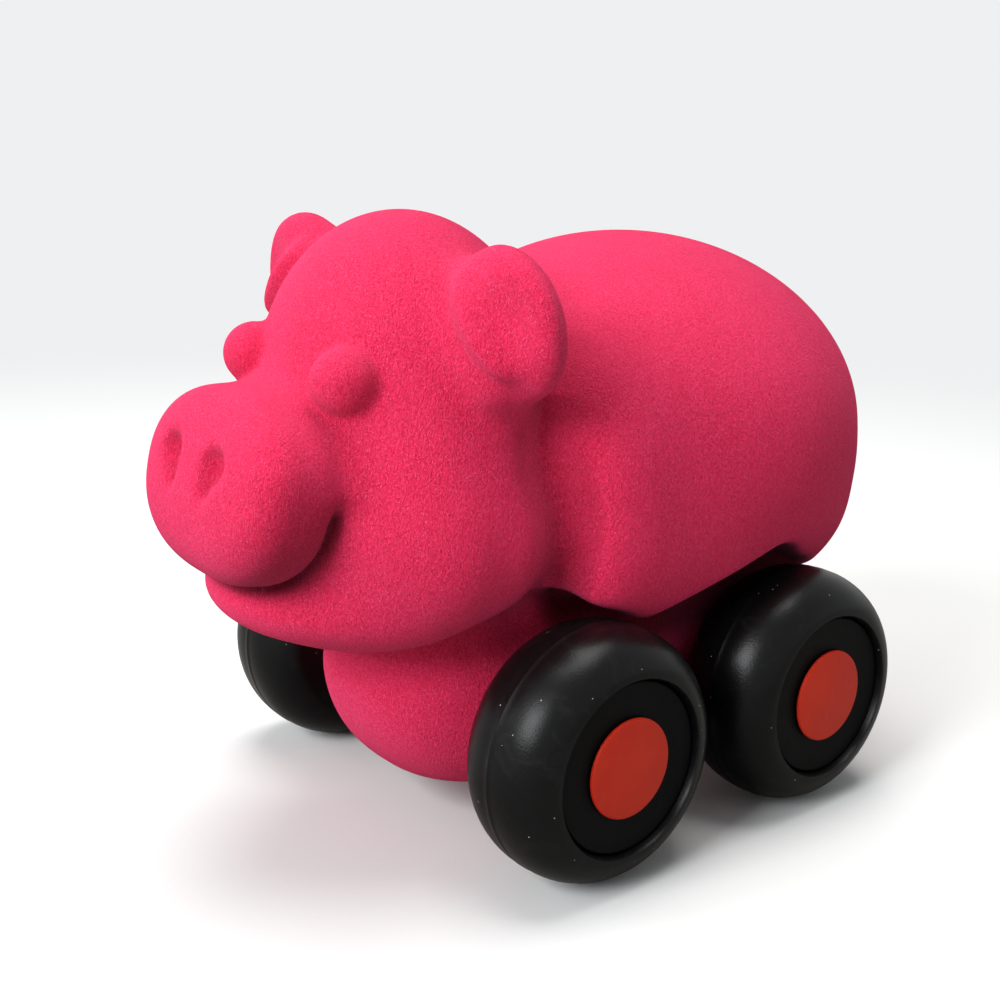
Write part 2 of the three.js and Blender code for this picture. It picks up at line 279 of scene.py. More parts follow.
def rubberMaterial():
    material, tree, shader, place = newMaterial("tyreRubber")
    skin = mouldedSkin(tree, shader, place, rubber, "Cloud")
    lint = useGroup(tree, lintGroup, Place=place, Spacing=rubber["lintSpacing"], Speck=rubber["lintSpeck"])
    scuffed = mathNode(tree, "MULTIPLY", skin["Scuff"], rubber["scuffShare"])
    worn = mixColour(tree, scuffed, rubber["base"], rubber["worn"])
    tree.links.new(mixColour(tree, lint["Mask"], worn, rubber["lint"]), shader.inputs["Base Color"])
    return material


hub = {
    "base": (0.0018, 0.0018, 0.0020),
    "worn": (0.0036, 0.0036, 0.0038),
    "grainSize": 0.0003,
    "scuffSize": 0.005,
    "roughness": (0.5, 0.62),
    "specular": 0.06,
    "bumpDepth": 0.00003,
}


def hubMaterial():
    material, tree, shader, place = newMaterial("hubPlastic")
    skin = mouldedSkin(tree, shader, place, hub, "Scuff")
    tree.links.new(mixColour(tree, skin["Cloud"], hub["base"], hub["worn"]), shader.inputs["Base Color"])
    return material


cap = {
    "base": (0.56, 0.019, 0.005),
    "light": (0.62, 0.028, 0.008),
    "scuff": (0.66, 0.08, 0.04),
    "grainSize": 0.00045,
    "scuffSize": 0.003,
    "scuffShare": 0.2,
    "roughness": (0.44, 0.54),
    "specular": 0.2,
    "bumpDepth": 0.00002,
}


def capMaterial():
    material, tree, shader, place = newMaterial("capPlastic")
    skin = mouldedSkin(tree, shader, place, cap, "Cloud")
    tone = mixColour(tree, skin["Cloud"], cap["base"], cap["light"])
    scuffed = mathNode(tree, "MULTIPLY", skin["Scuff"], cap["scuffShare"])
    tree.links.new(mixColour(tree, scuffed, tone, cap["scuff"]), shader.inputs["Base Color"])
    return material


nylon = {
    "base": (0.70, 0.67, 0.60),
    "warm": (0.60, 0.55, 0.46),
    "grainSize": 0.0004,
    "scuffSize": 0.002,
    "roughness": (0.42, 0.58),
    "specular": 0.5,
    "bumpDepth": 0.00002,
}


def nylonMaterial():
    material, tree, shader, place = newMaterial("bushNylon")
    skin = mouldedSkin(tree, shader, place, nylon, "Scuff")
    tree.links.new(mixColour(tree, skin["Cloud"], nylon["base"], nylon["warm"]), shader.inputs["Base Color"])
    return material


steel = {
    "base": (0.56, 0.57, 0.58),
    "dull": (0.36, 0.35, 0.34),
    "linesPerMetre": 9000,
    "linesAlong": 0.06,  # how much slower the lines change along the rod than across it
    "grainSize": 0.0005,
    "scuffSize": 0.004,
    "roughness": (0.22, 0.42),
    "bumpDepth": 0.00001,
}


def steelMaterial():
    material, tree, shader, place = newMaterial("drawnSteel")
    along = addNode(tree, "Mapping", {}, Vector=place, Scale=(steel["linesAlong"], 1, 1)).outputs[0]
    lines = noiseAt(tree, along, steel["linesPerMetre"], 3.0, 0.6)
    skin = useGroup(tree, mouldGroup, Place=place, Grain_Size=steel["grainSize"],
                    Scuff_Size=steel["scuffSize"])
    tree.links.new(mixColour(tree, skin["Cloud"], steel["base"], steel["dull"]), shader.inputs["Base Color"])
    shader.inputs["Metallic"].default_value = 1.0
    tree.links.new(spread(tree, lines, 0.3, 0.7, *steel["roughness"]), shader.inputs["Roughness"])
    addBump(tree, shader, lines, steel["bumpDepth"])
    return material


materials = {
    "foam": flockMaterial(), "tyre": rubberMaterial(), "hub": hubMaterial(),
    "hub_cap": capMaterial(), "nylon": nylonMaterial(), "steel": steelMaterial(),
}
print("materials ready:", len(materials))


# The foam pig

def form(at, radii, power=2.0, turn=(0, 0, 0), rise=None):
    x, y, z = (math.radians(angle) for angle in turn)
    rotation = Matrix.Rotation(z, 3, "Z") @ Matrix.Rotation(x, 3, "X") @ Matrix.Rotation(y, 3, "Y")
    return {"at": Vector(at), "radii": Vector(radii), "power": power, "rise": rise or power,
            "rotation": rotation}


archGap = 0.0010  # between a tyre and the foam over it
keelGap = 0.0013  # between a tyre's inner face and the keel
keelHalf = innerFace - keelGap

# A form's power says how square it is, 2 being round, and rise says it for its height.
pig = {
    "torso": form((0, 0.017, 0.046), (0.045, 0.0435, 0.035), 2.0, (-5, 0, 0)),
    "shoulders": form((0, -0.004, 0.0385), (0.0405, 0.0287, 0.0305), 3.5, (-1, 0, 0), 2.9),
    "haunches": form((0, 0.020, 0.034), (0.038, 0.0435, 0.0257), 2.4),
    "keel": form((0, 0, 0.0105), (keelHalf, 0.0482, 0.032), 2.6),
    "skull": form((0, -0.0362, 0.0555), (0.027, 0.0233, 0.0304)),
    "cheeks": form((0, -0.0423, 0.0352), (0.0338, 0.0223, 0.0222)),
    "nape": form((0, -0.0330, 0.0358), (0.0350, 0.0225, 0.0225)),
    "jaw": form((0, -0.0473, 0.0247), (0.0233, 0.0235, 0.0097)),
    "snout": form((0, -0.0678, 0.0437), (0.0208, 0.0092, 0.0154), 3.0, (-12, 0, 0), 2.3),
    "eye": form((0.0136, -0.0565, 0.0615), (0.0055, 0.0053, 0.0053)),
    "ear": form((0.0290, -0.0362, 0.0713), (0.0112, 0.0056, 0.0122), 2.0, (9.5, -35, -5)),
    "dish": form((0.0362, -0.0458, 0.0726), (0.0038, 0.0052, 0.0070), 2.0, (0, -35, -5)),
    "earRoot": form((0.0250, -0.0398, 0.0664), (0.0034, 0.0036, 0.0078), 2.0, (0, -41, 0)),
    "ridge": form((0.0284, -0.0410, 0.0712), (0.0024, 0.0044, 0.0088), 2.0, (0, -41, 0)),
    "nostril": form((0.0067, -0.0764, 0.0492), (0.0026, 0.0036, 0.0026), 2.0, (-12, 0, 0)),
    "nostrilTail": form((0.0056, -0.0776, 0.0463), (0.0013, 0.0028, 0.0028), 2.0, (-12, 14, 0)),
}

# How softly each form runs into the next.
softness = {
    "torso": 0.006, "haunches": 0.005, "keel": 0.005, "belly": 0.002, "boss": 0.001, "tail": 0.0012,
    "arch": 0.002, "flankDrop": 0.006,
    "skull": 0.014, "nape": 0.002, "jaw": 0.006, "mouth": 0.0010, "bridge": 0.007, "eye": 0.0014,
    "neck": 0.0012, "ear": 0.0075, "earRoot": 0.0045, "ridge": 0.0030, "dish": 0.0045, "nostril": 0.0020,
}

shaping = {
    "voxel": 0.0007,
    "blankVoxel": 0.001,
    "archRadius": tyreRadius + archGap,
    "flankEdge": (-0.0111, 0.0184, 0.297),  # where the flank's lower edge starts, and its slope to the rear
    "flankTop": (0.0230, 0.0285),  # from here the edge drops to the arch over the rear wheel
    "wellOut": 0.07,  # past the widest form
    "bellyHeight": -0.0139,  # of the flat underneath, from the axle line
    "headLean": 2.5,  # degrees that the head leans to its left
    "headHinge": 0.050,  # height that it leans about
    "neckDepth": 0.0030,  # of the groove where the head meets the body
    "neckWidth": 0.005,
    "neckTop": (0.046, 0.058),  # between these heights the groove fades out
    "mouthDepth": 0.0005,
    "mouthWidth": 0.0012,
    "mouthCorner": (0.0408, 0.0452),  # between these heights the mouth's crease fades out
    "bossRadius": 0.009,
    "boreRadius": 0.0053,
    "tailHeight": 0.052,
    "tailRadius": 0.0042,
    "tailThickness": 0.0017,
    "tailTurns": 1.25,
    "tailTighten": 0.55,
    "tailStandOff": 0.001,
    "tailPoints": 30,
    "tailStep": 0.00005,  # the coil is moved out of the rump by this, up to tailSteps times
    "tailSteps": 2000,
    "tailRoom": 0.02,  # points further than this from the coil don't feel it
    "boreOut": 0.06,  # past the outer ends of the axle tubes
    "rounds": 6,
    "longestMove": 0.0012,
    "slopeStep": 0.00005,
    "leastSteep": 0.25,
}

# How the flock's colour is darkened in folds, over the wheels and under the snout. The darkening is
# painted shade, and weights of 0 take it away. A reach is a distance out from the skin,
# with its weight.
shade = {
    "nearReach": ((0.0018, 0.6), (0.005, 0.2)),
    "farReach": (0.014, 1.15),
    "from": 0.15,  # less crowding than this leaves the colour as it is
    "earHeights": (0.043, 0.057),  # the shade weakens between these heights
    "earShade": 0.3,  # to this share
    "faceEnd": -0.034,  # in front of this only the near reaches count
    "faceFade": 0.012,
    "snout": 0.55,
    "snoutSkin": 0.0015,
    "snoutTurn": (0.7, 0.9, 0.1),  # share of the sides, share of the underside, and where it starts
    "arch": 1.0,
    "archSkin": 0.0008,
}

lean = Matrix.Rotation(math.radians(shaping["headLean"]), 3, "Y")
headHinge = Vector((0, 0, shaping["headHinge"]))
headPlace = Matrix.Translation(headHinge) @ lean.to_4x4() @ Matrix.Translation(-headHinge)


def distanceTo(points, shape):
    radii, power, rise = np.array(shape["radii"]), shape["power"], shape["rise"]
    x, y, z = (np.abs((points - np.array(shape["at"])) @ np.array(shape["rotation"])) / radii + 1e-6).T
    girth = (x ** power + y ** power) ** (1 / power)
    size = (girth ** rise + z ** rise) ** (1 / rise)
    level = size ** (1 - rise) * girth ** (rise - power)
    slope = np.sqrt((level * x ** (power - 1) / radii[0]) ** 2 + (level * y ** (power - 1) / radii[1]) ** 2
                    + (size ** (1 - rise) * z ** (rise - 1) / radii[2]) ** 2)
    return (size - 1) / slope


def blend(one, other, amount):
    share = np.clip(0.5 + (other - one) / (2 * amount), 0, 1)
    return other + (one - other) * share - amount * share * (1 - share)


def carve(one, cut, amount):
    return -blend(-one, cut, amount)


def folded(points):
    return np.column_stack((np.abs(points[:, 0]), points[:, 1:]))


def unleaned(points):
    hinge = np.array(headHinge)
    return (points - hinge) @ np.array(lean) + hinge


def bodyDistance(points):
    near = {name: distanceTo(points, pig[name]) for name in ("torso", "shoulders", "haunches", "keel")}
    keel = carve(near["keel"], points[:, 2] - shaping["bellyHeight"], softness["belly"])
    body = blend(near["torso"], near["shoulders"], softness["torso"])
    body = blend(body, near["haunches"], softness["haunches"])
    return blend(body, keel, softness["keel"])


# The mouth is the crease between the snout and the face, which fades out above its corners.
def headDistance(points, well):
    names = ("skull", "cheeks", "nape", "jaw", "snout", "eye")
    near = {name: distanceTo(points, pig[name]) for name in names}
    face = blend(near["skull"], blend(near["cheeks"], near["nape"], softness["nape"]), softness["skull"])
    face = carve(blend(face, near["jaw"], softness["jaw"]), well, softness["arch"])
    low, high = shaping["mouthCorner"]
    above = np.clip((points[:, 2] - low) / (high - low), 0, 1)
    crease = shaping["mouthDepth"] * np.exp(-(face ** 2 + near["snout"] ** 2) / shaping["mouthWidth"] ** 2)
    creased = blend(face, near["snout"], softness["mouth"]) + crease
    bridged = blend(face, near["snout"], softness["bridge"])
    return blend(creased * (1 - above) + bridged * above, near["eye"], softness["eye"])


# Room for the wheels outside the keel: an arch over each, and between them the flank's rising lower edge.
def wellDistance(side):
    start, height, rise = shaping["flankEdge"]
    end, top = shaping["flankTop"]
    drop = (side[:, 1] - end + side[:, 2] - top) * math.sqrt(0.5)
    room = carve(side[:, 2] - height - (side[:, 1] - start) * rise, -drop, softness["flankDrop"])
    for y in (-axleHalf, axleHalf):
        arch = np.hypot(side[:, 1] - y, side[:, 2]) - shaping["archRadius"]
        room = blend(room, arch, softness["arch"])
    return np.maximum(room, keelHalf - side[:, 0])


def foamDistance(points, tail):
    side, face = folded(points), folded(unleaned(points))
    fromAxle = np.hypot(np.abs(side[:, 1]) - axleHalf, side[:, 2])
    well = wellDistance(side)
    boss = np.maximum(fromAxle - shaping["bossRadius"], side[:, 0] - bossFace)
    body = blend(carve(bodyDistance(side), well, softness["arch"]), boss, softness["boss"])
    head = headDistance(face, well)
    low, high = shaping["neckTop"]
    groove = shaping["neckDepth"] * np.exp(-(body ** 2 + head ** 2) / shaping["neckWidth"] ** 2)
    groove *= np.clip((high - points[:, 2]) / (high - low), 0, 1)
    whole = blend(body, head, softness["neck"]) + groove
    for name in ("ear", "earRoot", "ridge"):
        whole = blend(whole, distanceTo(face, pig[name]), softness[name])
    whole = carve(whole, distanceTo(face, pig["dish"]), softness["dish"])
    hole, slit = distanceTo(face, pig["nostril"]), distanceTo(face, pig["nostrilTail"])
    whole = carve(whole, blend(hole, slit, softness["nostril"]), softness["nostril"])
    return blend(whole, tailDistance(points, tail), softness["tail"])


def tailPath():
    count = shaping["tailPoints"]
    path = []
    for i in range(count + 1):
        share = i / count
        angle = share * shaping["tailTurns"] * math.tau
        radius = shaping["tailRadius"] * (1 - shaping["tailTighten"] * share)
        path.append((radius * math.sin(angle), 0.0, shaping["tailHeight"] + radius * math.cos(angle)))
    path = np.array(path)
    path[:, 1] = pig["torso"]["at"].y
    for _ in range(shaping["tailSteps"]):
        inside = bodyDistance(folded(path)) < shaping["tailStandOff"]
        if not inside.any():
            break
        path[inside, 1] += shaping["tailStep"]
    return path


def tailDistance(points, path):
    best = np.full(len(points), 1.0)
    near = np.linalg.norm(points - path.mean(0), axis=1) < shaping["tailRoom"]
    some = points[near]
    close = np.full(len(some), 1.0)
    for start, end in zip(path, path[1:]):
        way = end - start
        share = np.clip(((some - start) @ way) / (way @ way), 0, 1)
        close = np.minimum(close, np.linalg.norm(some - start - share[:, None] * way, axis=1))
    best[near] = close - shaping["tailThickness"]
    return best


def addBall(bm, shape, side=1, fineness=5, place=Matrix()):
    made = bmesh.ops.create_icosphere(bm, subdivisions=fineness, radius=1.0)["verts"]
    rotation, radii, power, rise = (shape[key] for key in ("rotation", "radii", "power", "rise"))
    for vert in made:
        girth = (abs(vert.co.x) ** power + abs(vert.co.y) ** power) ** (1 / power)
        size = (girth ** rise + abs(vert.co.z) ** rise) ** (1 / rise)
        spot = rotation @ Vector(value / size * radius for value, radius in zip(vert.co, radii))
        spot += shape["at"]
        vert.co = place @ Vector((side * spot.x, spot.y, spot.z))
    if side < 0:
        bmesh.ops.reverse_faces(bm, faces=list({face for vert in made for face in vert.link_faces}))


def addBar(bm, radius, low, high, y, steps=64):
    turn = Matrix.Rotation(math.radians(90), 4, "Y")
    place = Matrix.Translation(((low + high) / 2, y, 0))
    bmesh.ops.create_cone(bm, cap_ends=True, segments=steps, radius1=radius, radius2=radius,
                          depth=high - low, matrix=place @ turn)


def meshObject(name, bm):
    mesh = bpy.data.meshes.new(name)
    bm.to_mesh(mesh)
    bm.free()
    item = bpy.data.objects.new(name, mesh)
    bpy.context.scene.collection.objects.link(item)
    return item


def applyModifiers(item):
    bpy.context.view_layer.update()
    done = bpy.data.meshes.new_from_object(item.evaluated_get(bpy.context.evaluated_depsgraph_get()))
    item.modifiers.clear()
    item.data = done


def remesh(item, size):
    modifier = item.modifiers.new("skin", "REMESH")
    modifier.mode = "VOXEL"
    modifier.voxel_size = size
    applyModifiers(item)


def cutAway(item, bm):
    tool = meshObject("cutter", bm)
    modifier = item.modifiers.new("cut", "BOOLEAN")
    modifier.operation = "DIFFERENCE"
    modifier.solver = "MANIFOLD"
    modifier.object = tool
    applyModifiers(item)
    bpy.data.objects.remove(tool)


def foamBlank(tail):
    bm = bmesh.new()
    for name in ("torso", "shoulders", "haunches", "keel"):
        addBall(bm, pig[name])
    for name in ("skull", "cheeks", "nape", "jaw", "snout"):
        addBall(bm, pig[name], place=headPlace)
    for name in ("eye", "ear", "earRoot", "ridge"):
        for side in (1, -1):
            addBall(bm, pig[name], side, 4, headPlace)
    thick = shaping["tailThickness"]
    for spot in tail:
        addBall(bm, form(spot, (thick, thick, thick)), 1, 2)
    blank = meshObject("pig_body", bm)
    remesh(blank, shaping["blankVoxel"])
    for y in (-axleHalf, axleHalf):
        for side in (1, -1):
            bm = bmesh.new()
            addBar(bm, shaping["archRadius"], *sorted((side * keelHalf, side * shaping["wellOut"])), y)
            cutAway(blank, bm)
    for name in ("dish", "nostril", "nostrilTail"):
        for side in (1, -1):
            bm = bmesh.new()
            addBall(bm, pig[name], side, 4, headPlace)
            cutAway(blank, bm)
    bm = bmesh.new()
    bm.from_mesh(blank.data)
    for y in (-axleHalf, axleHalf):
        addBar(bm, shaping["bossRadius"], -bossFace, bossFace, y)
    bm.to_mesh(blank.data)
    bm.free()
    remesh(blank, shaping["voxel"])
    return blank


def slopeAt(points, tail):
    step = shaping["slopeStep"]
    slope = np.zeros_like(points)
    for axis in range(3):
        nudge = np.zeros(3)
        nudge[axis] = step
        rise = foamDistance(points + nudge, tail) - foamDistance(points - nudge, tail)
        slope[:, axis] = rise / (2 * step)
    return slope


# Moves every point towards the true skin, along its own slope.
def settle(points, tail):
    value = foamDistance(points, tail)
    slope = slopeAt(points, tail)
    steep = np.maximum((slope ** 2).sum(1), shaping["leastSteep"])
    move = -(value / steep)[:, None] * slope
    length = np.linalg.norm(move, axis=1, keepdims=True)
    return points + move * np.minimum(1, shaping["longestMove"] / np.maximum(length, 1e-9))


# How much of the room at a distance out from each point is taken up by other foam.
def crowding(points, outward, tail, reach):
    room = np.clip(foamDistance(points + outward * reach, tail) / reach, 0, 1)
    return np.clip((1 - room - shade["from"]) / (1 - shade["from"]), 0, 1)


# The mask of painted shade on the flock: how far into a crease each point lies, over a wheel or under the
# snout.
def paintedShadeAt(points, tail):
    slope = slopeAt(points, tail)
    outward = slope / np.maximum(np.linalg.norm(slope, axis=1, keepdims=True), 1e-6)
    paintedShade = np.zeros(len(points))
    for reach, share in shade["nearReach"]:
        paintedShade += share * crowding(points, outward, tail, reach)
    reach, share = shade["farReach"]
    behind = np.clip((points[:, 1] - shade["faceEnd"]) / shade["faceFade"], 0, 1)
    paintedShade += share * behind * crowding(points, outward, tail, reach)
    low, high = shade["earHeights"]
    paintedShade *= np.clip((high - points[:, 2]) / (high - low), shade["earShade"], 1)

    # Painted shade on the snout where its sides and underside turn down.
    snout = distanceTo(folded(unleaned(points)), pig["snout"])
    onSnout = 1 - np.clip(np.abs(snout) / shade["snoutSkin"], 0, 1)
    sides, below, start = shade["snoutTurn"]
    turnedDown = np.clip(np.abs(outward[:, 0]) * sides - outward[:, 2] * below - start, 0, 1)
    paintedShade += shade["snout"] * onSnout * turnedDown
    # Painted shade over the wheels.
    inArch = 1 - np.clip(np.abs(wellDistance(folded(points))) / shade["archSkin"], 0, 1)
    return np.clip(np.maximum(paintedShade, shade["arch"] * inArch), 0, 1)


def makePig():
    tail = tailPath()
    body = foamBlank(tail)
    print("foam blank:", len(body.data.vertices), "points")
    bm = bmesh.new()
    bm.from_mesh(body.data)
    for turn in range(shaping["rounds"] * 2):
        points = settle(np.array([vert.co for vert in bm.verts]), tail)
        for vert, spot in zip(bm.verts, points):
            vert.co = spot
        if turn % 2 == 0 and turn < shaping["rounds"] * 2 - 3:
            bmesh.ops.smooth_vert(bm, verts=bm.verts, factor=0.5, use_axis_x=True, use_axis_y=True,
                                  use_axis_z=True)
    bm.to_mesh(body.data)
    bm.free()
    for y in (-axleHalf, axleHalf):
        bm = bmesh.new()
        addBar(bm, shaping["boreRadius"], -shaping["boreOut"], shaping["boreOut"], y)
        cutAway(body, bm)
    # The painted shade mask is stored on the foam's points for the flock material.
    paintedShade = paintedShadeAt(np.array([vert.co for vert in body.data.vertices]), tail)
    body.data.attributes.new("paintedShade", "FLOAT", "POINT").data.foreach_set("value", paintedShade)
    body.data.transform(Matrix.Translation(centre))
    body.data.shade_smooth()
    body.data.materials.clear()
    body.data.materials.append(materials["foam"])
    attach(body, "car_body")
    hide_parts("foam_body")
    print("foam pig:", len(body.data.polygons), "faces")


makePig()


# Turned pieces. A corner of a profile is (radius, place along the axle from the wheel's middle, rounding).

def turned(name, node, corners, origin, side, slot, steps=96, closed=True):
    bm = bmesh.new()
    verts = []
    for radius, along, _ in corners:
        verts.append(bm.verts.new((origin.x + side * along, origin.y, origin.z + radius)))
    for pair in zip(verts, verts[1:]):
        bm.edges.new(pair)
    if closed:
        bm.edges.new((verts[-1], verts[0]))
    for rounding in sorted({corner[2] for corner in corners if corner[2] > 0}):
        chosen = [vert for vert, corner in zip(verts, corners) if corner[2] == rounding]
        bmesh.ops.bevel(bm, geom=chosen, offset=rounding, offset_type="OFFSET", segments=4, profile=0.5,
                        affect="VERTICES", material=-1, clamp_overlap=True)
    bmesh.ops.spin(bm, geom=bm.verts[:] + bm.edges[:], cent=origin, axis=(1, 0, 0), dvec=(0, 0, 0),
                   angle=math.tau, steps=steps, use_merge=True, use_duplicate=False)
    bmesh.ops.remove_doubles(bm, verts=bm.verts, dist=1e-6)
    bmesh.ops.recalc_face_normals(bm, faces=bm.faces)
    item = meshObject(name, bm)
    item.data.shade_smooth()
    item.data.set_sharp_from_angle(angle=math.radians(layout["sharpFrom"]))
    item.data.materials.append(materials[slot])
    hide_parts(node)
    return item


tyre = {
    "tread": 0.0024,
    "lipRadius": 0.0152,
    "lipThickness": 0.0003,
    "lipDepth": 0.0005,
    "boreRadius": 0.011,
    "seatDepth": 0.0054,
    "power": 1.9,
    "shoulderSteps": 18,
    "seamHeight": 0.00007,
    "seamHalf": 0.0003,
    "seatEdge": 0.0003,
}


def tyreProfile():
    tread = tyreRadius - tyre["seamHeight"]
    shoulder = []
    for i in range(tyre["shoulderSteps"] + 1):
        angle = i / tyre["shoulderSteps"] * math.pi / 2
        out = math.sin(angle) ** (2 / tyre["power"])
        up = math.cos(angle) ** (2 / tyre["power"]) if i < tyre["shoulderSteps"] else 0.0
        along = tyre["tread"] / 2 + (tyreHalfWidth - tyre["tread"] / 2) * out
        shoulder.append((tyre["lipRadius"] + (tread - tyre["lipRadius"]) * up, along))
    seam = tyre["seamHalf"]
    recess = tyre["lipRadius"] - tyre["lipThickness"]
    seat = tyreHalfWidth - tyre["seatDepth"]
    corners = [(radius, -along, 0) for radius, along in reversed(shoulder)]
    corners += [(tread, -seam, 0), (tyreRadius, -seam / 2, 0), (tyreRadius, seam / 2, 0), (tread, seam, 0)]
    corners += [(radius, along, 0) for radius, along in shoulder]
    corners += [(recess, tyreHalfWidth - tyre["lipDepth"], 0), (recess, seat, tyre["seatEdge"])]
    corners += [(tyre["boreRadius"], seat, 0), (tyre["boreRadius"], -tyreHalfWidth, 0)]
    return corners


wheel = {
    "hubRim": 0.01453,
    "hubBarrel": 0.01065,
    "hubBore": 0.00235,
    "dishDepth": 0.0011,
    "dishSlope": 0.0004,
    "landRadius": 0.009,
    "pocketRadius": 0.0069,
    "pocketDepth": 0.0068,
    "capRadius": 0.0085,
    "capEdge": 0.0007,
    "capCrown": 0.0004,
    "capSpigot": 0.0016,
    "capSpigotRadius": 0.0065,
    "capSteps": 10,
    "gap": 0.0003,
    "fineEdge": 0.0002,  # roundings
    "edge": 0.0003,
    "softEdge": 0.0004,
    "dishEdge": 0.0008,
    "landStep": 0.0006,
}


def hubProfile():
    face = tyreHalfWidth - wheel["dishDepth"]
    land = face - wheel["dishSlope"]
    floor = land - wheel["pocketDepth"]
    seat = tyreHalfWidth - tyre["seatDepth"] + wheel["gap"]
    return [
        (wheel["hubBore"], -tyreHalfWidth, 0),
        (wheel["hubBarrel"], -tyreHalfWidth, wheel["edge"]),
        (wheel["hubBarrel"], seat, 0),
        (wheel["hubRim"], seat, 0),
        (wheel["hubRim"], face, wheel["softEdge"]),
        (wheel["landRadius"] + wheel["landStep"], land, wheel["dishEdge"]),
        (wheel["landRadius"], land, 0),
        (wheel["pocketRadius"], land, wheel["fineEdge"]),
        (wheel["pocketRadius"], floor, 0),
        (wheel["hubBore"], floor, 0),
    ]


def capProfile():
    seat = tyreHalfWidth - wheel["dishDepth"] - wheel["dishSlope"] + wheel["gap"]
    low = seat - wheel["capSpigot"]
    top = seat + wheel["capEdge"]
    corners = [
        (0, low, 0),
        (wheel["capSpigotRadius"], low, wheel["fineEdge"]),
        (wheel["capSpigotRadius"], seat, 0),
        (wheel["capRadius"], seat, wheel["fineEdge"]),
        (wheel["capRadius"], top, wheel["softEdge"]),
    ]
    for i in range(1, wheel["capSteps"] + 1):
        share = i / wheel["capSteps"]
        crown = wheel["capCrown"] * (1 - (1 - share) ** 2)
        corners.append((wheel["capRadius"] * (1 - share), top + crown, 0))
    return corners


small = {
    "axleRadius": 0.002,
    "axleChamfer": 0.0003,
    "bushBore": 0.0023,
    "bushRadius": 0.0034,
    "flangeRadius": 0.0063,
    "flangeThickness": 0.0012,
    "washerRadius": 0.0058,
    "washerBore": 0.0024,
    "ringRadius": 0.0046,
    "tubeBore": 0.0038,
    "tubeRadius": 0.0049,
    "fineEdge": 0.0002,  # roundings
    "edge": 0.0003,
}


def spanOf(node, origin, side):
    low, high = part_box(node)
    return sorted((side * (low.x - origin.x), side * (high.x - origin.x)))


def bushProfile(start, end):
    flange = end - small["flangeThickness"]
    return [
        (small["bushBore"], start, small["fineEdge"]),
        (small["bushRadius"], start, small["edge"]),
        (small["bushRadius"], flange, 0),
        (small["flangeRadius"], flange, small["fineEdge"]),
        (small["flangeRadius"], end, small["edge"]),
        (small["bushBore"], end, small["fineEdge"]),
    ]


def collarProfile(bore, radius, start, end, rounding):
    return [(bore, start, 0), (radius, start, rounding), (radius, end, rounding), (bore, end, 0)]


def makeWheel(end, hand, side):
    key = f"{end}_{hand}"
    origin = middleOf("tyre_" + key)
    turning = end + "_wheel_set"

    def place(name, node, corners, slot, ridesOn, steps=96, closed=True):
        item = turned(name + key, node + key, corners, origin, side, slot, steps, closed)
        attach(item, ridesOn)

    def collar(node, bore, radius, rounding):
        start, stop = spanOf(node + key, origin, side)
        return collarProfile(bore, radius, start, stop, rounding)

    place("balloon_tyre_", "tyre_", tyreProfile(), "tyre", turning, 144)
    place("dished_hub_", "wheel_hub_", hubProfile(), "hub", turning)
    place("domed_cap_", "hub_cap_", capProfile(), "hub_cap", turning, closed=False)
    start, stop = spanOf("bush_" + key, origin, side)
    place("flanged_bush_", "bush_", bushProfile(start, stop), "nylon", "car_body", 64)
    washer = collar("washer_", small["washerBore"], small["washerRadius"], small["fineEdge"])
    place("thin_washer_", "washer_", washer, "nylon", turning, 64)
    ring = collar("retaining_ring_", small["washerBore"], small["ringRadius"], small["edge"])
    place("push_ring_", "retaining_ring_", ring, "steel", turning, 48)


def makeAxle(end):
    origin = middleOf("axle_" + end)
    start, stop = spanOf("axle_" + end, origin, 1)
    corners = collarProfile(0, small["axleRadius"], start, stop, small["axleChamfer"])
    rod = turned("steel_axle_" + end, "axle_" + end, corners, origin, 1, "steel", 48, False)
    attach(rod, end + "_wheel_set")
    start, stop = spanOf("axle_tube_" + end, origin, 1)
    corners = collarProfile(small["tubeBore"], small["tubeRadius"], start, stop, 0)
    sleeve = turned("glued_tube_" + end, "axle_tube_" + end, corners, origin, 1, "nylon", 64)
    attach(sleeve, "car_body")


for end in layout["ends"]:
    makeAxle(end)
    for hand, side in layout["hands"]:
        makeWheel(end, hand, side)
print("wheels and axles ready")


# Camera, floor and light

view = {
    "place": (0.190859, -0.169406, 0.117624),  # from the floor, midway between the axles
    "azimuth": 50.843,
    "elevation": 14.320,
    "roll": 0.677,
    "lens": 49.575,
    "sensor": 36.0,
}


def makeCamera():
    azimuth, elevation, roll = (math.radians(view[key]) for key in ("azimuth", "elevation", "roll"))
    right = Vector((math.cos(azimuth), math.sin(azimuth), 0))
    back = Vector((math.sin(azimuth) * math.cos(elevation), -math.cos(azimuth) * math.cos(elevation),
                   math.sin(elevation)))
    up = back.cross(right)
    tiltedRight = right * math.cos(roll) + up * math.sin(roll)
    tiltedUp = up * math.cos(roll) - right * math.sin(roll)
    turn = Matrix((tiltedRight, tiltedUp, back)).transposed().to_4x4()
    data = bpy.data.cameras.new("camera")
    data.lens = view["lens"]
    data.sensor_width = view["sensor"]
    data.clip_start = 0.01
    item = bpy.data.objects.new("camera", data)
    x, y, z = view["place"]
    item.matrix_world = Matrix.Translation((x, y + centre.y, z)) @ turn
    bpy.context.scene.collection.objects.link(item)
    bpy.context.scene.camera = item


